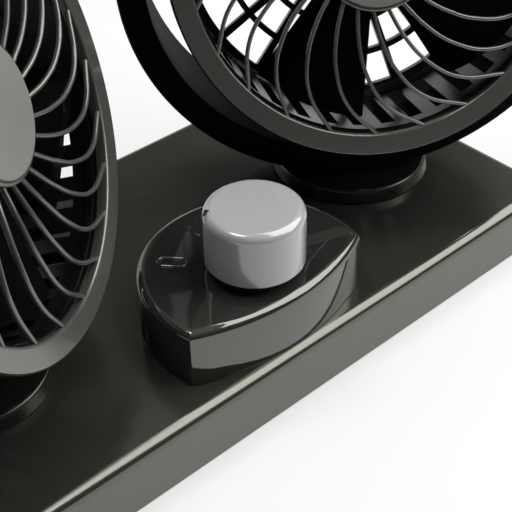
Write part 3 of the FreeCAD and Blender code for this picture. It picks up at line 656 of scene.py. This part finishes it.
def swept_ribs(name, first):
    bpy.ops.object.select_all(action="DESELECT")
    bpy.ops.curve.primitive_bezier_curve_add(location=(0.0, 0.0, 0.0))
    rib = bpy.context.object
    rib.name = name
    spline = rib.data.splines[0]
    spline.bezier_points.add(len(rib_path) - len(spline.bezier_points))
    for point, (radius, sweep, bulge) in zip(spline.bezier_points, rib_path):
        turn = math.radians(first + sweep)
        point.co = (radius * MM * math.cos(turn), radius * MM * math.sin(turn),
                    (face_height + bulge - rib_half_depth) * MM)
        point.handle_left_type = point.handle_right_type = "AUTO"
    rib.data.dimensions = "3D"
    rib.data.twist_mode = "Z_UP"
    rib.data.resolution_u = 8
    rib.data.bevel_depth = rib_half_width * MM
    rib.data.bevel_resolution = 3
    rib.data.extrude = (rib_half_depth - rib_half_width) * MM
    rib.data.use_fill_caps = True
    bpy.ops.object.convert(target="MESH")
    rib = bpy.context.object
    bpy.ops.object.mode_set(mode="EDIT")
    bpy.ops.mesh.select_all(action="SELECT")
    bpy.ops.mesh.remove_doubles(threshold=0.005 * MM)
    bpy.ops.mesh.normals_make_consistent(inside=False)
    bpy.ops.mesh.spin(steps=rib_count - 1, dupli=True, angle=math.tau * (rib_count - 1) / rib_count,
                      center=(0.0, 0.0, 0.0), axis=(0.0, 0.0, 1.0))
    bpy.ops.object.mode_set(mode="OBJECT")
    print(name, len(rib.data.polygons), "faces")
    return rib


print("ribs per head", rib_count)

# %% [markdown]
# ## Placing a head piece
# Head pieces are made lying flat, facing up, round the tilt axis. Each head is then stood up by its tilt,
# turned by its swivel and carried to its pivot. The place is applied to the mesh, so the object itself
# stays at the origin.

# %% Head placing helper
heads = {"left": (-1.0, 38.0), "right": (1.0, -33.5)}
first_rib = {"left": -37.45, "right": -36.05}
head_tilt = 17.5
pivot_out, pivot_back, pivot_up = 72.13, 0.1, 94.8
turned_crease = 32.0


def onto_head(piece, side):
    way, swivel = heads[side]
    pivot = Vector((way * pivot_out, pivot_back, pivot_up)) * MM
    settle(piece, Matrix.Translation(pivot)
           @ Matrix.Rotation(math.radians(swivel), 4, "Z")
           @ Matrix.Rotation(math.radians(90.0 - head_tilt), 4, "X"), turned_crease)


print("heads", heads)

# %% [markdown]
# ## Front grilles and badges
# The bezel is a flat ring with a crisp outer edge, a rounded inner edge that catches the light, and a skirt
# that slips over the drum. Two more rings near the edges keep its face flat under smooth shading. The rim and
# the skirt take a deeper black that barely mirrors, as painted shade. The hub is a shallow dish that holds
# the grey badge.
# Bezel, hub and ribs are one moulding, so they are joined, and the badge stays a piece of its own.

# %% Make the bezels and hubs
bezel_steps, hub_steps = 144, 96
bezel_inner, bezel_outer, bezel_back = 50.8, 56.9, 21.0
flat_inner, flat_outer = 51.6, 56.2
skirt_inner, skirt_back = 55.1, 16.0
inner_wall, rim_start, rim_front = 51.0, 56.4, 23.5
hub_radius, hub_back, hub_front = 16.6, 20.6, 23.6
dish_radius, dish_floor = 15.45, 22.7


def make_bezel(name):
    bezel = turned(name, [(bezel_inner, bezel_back), (bezel_inner, face_height), (flat_inner, face_height),
                          (flat_outer, face_height), (bezel_outer, face_height), (bezel_outer, skirt_back),
                          (skirt_inner, skirt_back), (skirt_inner, bezel_back)],
                   hollow=True, steps=bezel_steps)
    bezel.data.materials.append(finishes["grille_face"])
    bezel.data.materials.append(finishes["skirt_painted_shade"])
    round_rings(bezel, [(bezel_outer, face_height)], size=0.45, segments=3)
    round_rings(bezel, [(bezel_inner, face_height)], size=0.60, segments=4)
    round_rings(bezel, [(bezel_outer, skirt_back), (bezel_inner, bezel_back)], size=0.30, segments=2)
    # The rim and skirt faces take the near-mirrorless black, a painted shade; the face keeps the grille
    # finish.
    for face in bezel.data.polygons:
        out, high = math.hypot(face.center.x, face.center.y), face.center.z
        skirt = out > rim_start * MM or (out > inner_wall * MM and high < rim_front * MM)
        face.material_index = 1 if skirt else 0
    return bezel


def make_hub(name):
    hub = turned(name, [(hub_radius, hub_back), (hub_radius, hub_front), (dish_radius, hub_front),
                        (dish_radius, dish_floor)], hollow=False, steps=hub_steps)
    hub.data.materials.append(finishes["grille_face"])
    round_rings(hub, [(hub_radius, hub_front)], size=0.45, segments=3)
    return hub


print("bezel radius", bezel_outer, "hub radius", hub_radius)

# %% Make the grilles
for side in heads:
    bezel = make_bezel(side + "_grille")
    hub = make_hub(side + "_hub")
    ribs = swept_ribs(side + "_ribs", first_rib[side])
    ribs.data.materials.append(finishes["grille_face"])
    bpy.ops.object.select_all(action="DESELECT")
    for piece in (hub, ribs, bezel):
        piece.select_set(True)
    bpy.context.view_layer.objects.active = bezel
    bpy.ops.object.join()
    onto_head(bezel, side)
    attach(bezel, side + "_head")
    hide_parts(side + "_front_grille")
    print(bezel.name, len(bezel.data.polygons), "faces")

# %% Make the badges
badge_radius, badge_flat, badge_front = 15.4, 14.9, 24.2
for side in heads:
    badge = turned(side + "_badge_disc", [(badge_radius, dish_floor), (badge_radius, badge_front),
                                          (badge_flat, badge_front)], hollow=False, steps=hub_steps)
    round_rings(badge, [(badge_radius, badge_front)], size=0.35, segments=3)
    onto_head(badge, side)
    badge.data.materials.append(finishes["grey_satin"])
    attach(badge, side + "_head")
    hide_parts(side + "_badge")
    print(badge.name, len(badge.data.polygons), "faces")

# %% [markdown]
# ## Switch housing
# The housing is a smooth gloss shell: round at the back, with a shallow curved front, and two upright
# corners where the curves meet. Two cylinders and a boolean would give its plan, but rounding their top
# edge goes wrong where the curves meet. A flat Bezier curve keeps the plan as four points, and its own
# bevel rounds the edge and mitres the corners. The curve becomes a mesh, is cut off at the base, and then
# only the sharp lines left at the corners are rounded finely, because those are the thin bright lines in
# the photograph. An inset keeps the top flat under smooth shading, and the foot flares out by a hair to
# catch some light where it meets the base.

# %% Lay out the housing's plan
base_top, housing_top, housing_edge = 19.3, 36.3, 2.3
round_y, round_radius = -34.5, 32.0
front_y, front_radius = 16.7, 68.0
apart = front_y - round_y
ahead = (front_radius ** 2 - round_radius ** 2 - apart ** 2) / (2.0 * apart)
corner_turn = math.asin(ahead / round_radius)
front_turn = math.acos((apart + ahead) / front_radius)
back_span = math.pi + 2.0 * corner_turn
back_reach = 4.0 / 3.0 * math.tan(back_span / 12.0) * round_radius
front_reach = 4.0 / 3.0 * math.tan(front_turn / 2.0) * front_radius
bpy.ops.object.select_all(action="DESELECT")
bpy.ops.curve.primitive_bezier_circle_add(radius=round_radius * MM, location=(0.0, 0.0, 0.0))
housing = bpy.context.object
housing.name = "housing_shell"
plan = housing.data.splines[0].bezier_points
for index, point in enumerate(plan):
    turn = index * back_span / 3.0 - corner_turn
    place = Vector((round_radius * math.cos(turn), round_y + round_radius * math.sin(turn), 0.0))
    along = Vector((-math.sin(turn), math.cos(turn), 0.0)) * back_reach
    point.handle_left_type = point.handle_right_type = "FREE"
    point.co = place * MM
    point.handle_left, point.handle_right = (place - along) * MM, (place + along) * MM
into_front = Vector((math.cos(front_turn), -math.sin(front_turn), 0.0)) * front_reach * MM
plan[3].handle_right = plan[3].co + into_front
plan[0].handle_left = plan[0].co + into_front * Vector((-1.0, 1.0, 1.0))
print("housing plan", len(plan), "points")

# %% Raise the housing from its plan
housing.data.dimensions, housing.data.fill_mode, housing.data.resolution_u = "2D", "BOTH", 14
housing.data.bevel_depth, housing.data.bevel_resolution = housing_edge * MM, 5
housing.data.offset, housing.data.extrude = -housing_edge * MM, housing_top / 2.0 * MM
housing.location = (0.0, 0.0, (housing_top / 2.0 - housing_edge) * MM)
bpy.ops.object.convert(target="MESH")
housing = bpy.context.object
bpy.ops.object.transform_apply(location=True, rotation=True, scale=True)
foot_rise, foot_flare, foot_middle = 0.3, 1.016, -30.0
straight_up = (0.0, 0.0, 1.0)
bpy.ops.object.mode_set(mode="EDIT")
bpy.ops.mesh.select_all(action="SELECT")
bpy.ops.mesh.remove_doubles(threshold=0.01 * MM)
bpy.ops.mesh.bisect(plane_co=(0.0, 0.0, base_top * MM), plane_no=straight_up, clear_inner=True, use_fill=True)
bpy.ops.mesh.select_all(action="SELECT")
bpy.ops.mesh.normals_make_consistent(inside=False)
bpy.ops.mesh.bisect(plane_co=(0.0, 0.0, (base_top + foot_rise) * MM), plane_no=straight_up)
print("housing raised to", housing_top, "mm")

# %% Round the housing's corners, inset its top and flare its foot
corner_x, corner_round, top_inset = 27.0, 0.55, 0.25
near, flat = 0.1, 0.999
sharp_from, housing_crease = math.radians(15.0), math.radians(35.0)
bpy.ops.mesh.select_mode(type="EDGE")
bpy.ops.mesh.select_all(action="DESELECT")
bpy.ops.mesh.edges_select_sharp(sharpness=sharp_from)
bpy.ops.object.mode_set(mode="OBJECT")
for line in housing.data.edges:
    ends = [housing.data.vertices[end].co for end in line.vertices]
    above = max(end.z for end in ends) > (base_top + near) * MM
    line.select = line.select and above and abs(ends[0].x) > corner_x * MM
bpy.ops.object.mode_set(mode="EDIT")
bpy.ops.mesh.bevel(offset=corner_round * MM, segments=3, affect="EDGES", clamp_overlap=True)
pick(housing, "FACE", lambda face: face.normal.z > flat and face.center.z > (housing_top - near) * MM)
bpy.ops.mesh.inset(thickness=top_inset * MM, depth=0.0)
pick(housing, "FACE", lambda face: face.normal.z < -flat)
bpy.ops.transform.resize(value=(foot_flare, foot_flare, 1.0),
                         center_override=(0.0, foot_middle * MM, base_top * MM))
bpy.ops.mesh.select_all(action="SELECT")
bpy.ops.mesh.normals_make_consistent(inside=False)
bpy.ops.object.mode_set(mode="OBJECT")
bpy.ops.object.shade_smooth_by_angle(angle=housing_crease)
housing.data.materials.append(finishes["black_gloss"])
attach(housing, "base")
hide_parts("switch_housing")
print(housing.name, len(housing.data.polygons), "faces")

# %% [markdown]
# ## Knob
# The knob is a glossy grey cap with a softly rounded rim, a fine chamfer at its foot and a groove that
# points at the setting. The lathe helper turns the cap. The groove could be pushed in by hand, but a square
# bar set on its edge, leaning outwards, and taken away with a boolean leaves a clean V that runs out down
# the side.

# %% Turn the knob
knob_steps = 192
knob_foot, knob_top, knob_radius = 39.4, 55.8, 13.55
knob_bore, bore_depth = 11.5, 4.0
foot_flat, foot_chamfer, top_flat = 13.2, 0.35, 10.95
knob = turned("speed_knob", [(knob_bore, knob_foot + bore_depth), (knob_bore, knob_foot),
                             (foot_flat, knob_foot), (knob_radius, knob_foot + foot_chamfer),
                             (knob_radius, knob_top), (top_flat, knob_top)],
              hollow=False, steps=knob_steps)
round_rings(knob, [(knob_radius, knob_top)], size=2.4, segments=8)
print(knob.name, "height", round(knob_top - knob_foot, 2), "mm")

# %% Cut the groove and set the knob in its place
groove_turn, groove_lean = math.radians(145.0), math.radians(22.0)
bar_width, bar_length, bar_out = 2.0, 14.0, 13.0
bpy.ops.object.select_all(action="DESELECT")
bpy.ops.mesh.primitive_cube_add(size=1.0)
bar = bpy.context.object
bar.matrix_world = (Matrix.Rotation(groove_turn, 4, "Z")
                    @ Matrix.Translation((bar_out * MM, 0.0, knob_top * MM))
                    @ Matrix.Rotation(groove_lean, 4, "Y")
                    @ Matrix.Rotation(math.radians(45.0), 4, "Z")
                    @ Matrix.Diagonal((bar_width * MM, bar_width * MM, bar_length * MM, 1.0)))
bpy.ops.object.transform_apply(location=True, rotation=True, scale=True)
groove = knob.modifiers.new("groove", "BOOLEAN")
groove.operation, groove.object, groove.solver = "DIFFERENCE", bar, "EXACT"
take(knob)
bpy.ops.object.modifier_apply(modifier="groove")
bpy.data.objects.remove(bar)
knob_centre = Vector((0.0, round_y * MM, 0.0))
settle(knob, Matrix.Translation(knob_centre), turned_crease)
knob.data.materials.append(finishes["grey_gloss"])
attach(knob, "dial")
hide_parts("knob")
print(knob.name, len(knob.data.polygons), "faces")

# %% [markdown]
# ## Dial figures
# Round the knob stand three raised figures, moulded with the housing. The nought is a long ring, so a
# circle is stretched into a pill and given a round bead. The one and the two are text, lifted a little and
# rounded. Each is made flat at the origin, turned to its angle round the knob, and set on the housing's
# top.

# %% Dial placing helper
figure_radius, figure_crease = 22.3, 40.0


def onto_dial(figure, name, degrees):
    figure.name = name
    turn = math.radians(degrees)
    out = Vector((math.cos(turn), math.sin(turn), 0.0)) * figure_radius * MM
    place = knob_centre + out + Vector((0.0, 0.0, housing_top * MM))
    upright = Matrix.Rotation(math.radians(degrees - 90.0), 4, "Z")
    settle(figure, Matrix.Translation(place) @ upright, figure_crease)
    figure.data.materials.clear()
    figure.data.materials.append(finishes["black_gloss"])
    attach(figure, "base")
    print(name, len(figure.data.polygons), "faces")


print("figures stand", figure_radius, "mm from the knob's middle")

# %% Make the nought
pill_radius, pill_reach, pill_bead = 1.75, 2.2, 0.36
bpy.ops.object.select_all(action="DESELECT")
bpy.ops.mesh.primitive_circle_add(vertices=40, radius=pill_radius * MM)
nought = bpy.context.object
for way in (1.0, -1.0):
    pick(nought, "VERT", lambda point: point.co.y * way > 0.0)
    bpy.ops.transform.translate(value=(0.0, way * pill_reach * MM, 0.0))
    bpy.ops.object.mode_set(mode="OBJECT")
bpy.ops.object.convert(target="CURVE")
nought = bpy.context.object
nought.data.bevel_depth = pill_bead * MM
nought.data.bevel_resolution = 3
bpy.ops.object.convert(target="MESH")
onto_dial(bpy.context.object, "figure_nought", degrees=133.5)

# %% Make the one and the two
text_size, text_lift, text_round = 11.4, 0.12, 0.14
for word, degrees in (("1", 96.0), ("2", 50.0)):
    bpy.ops.object.select_all(action="DESELECT")
    bpy.ops.object.text_add(location=(0.0, 0.0, 0.0))
    figure = bpy.context.object
    figure.data.body = word
    figure.data.size = text_size * MM
    figure.data.align_x, figure.data.align_y = "CENTER", "CENTER"
    figure.data.extrude = text_lift * MM
    figure.data.bevel_depth = text_round * MM
    figure.data.bevel_resolution = 2
    bpy.ops.object.convert(target="MESH")
    onto_dial(bpy.context.object, "figure_" + word, degrees)
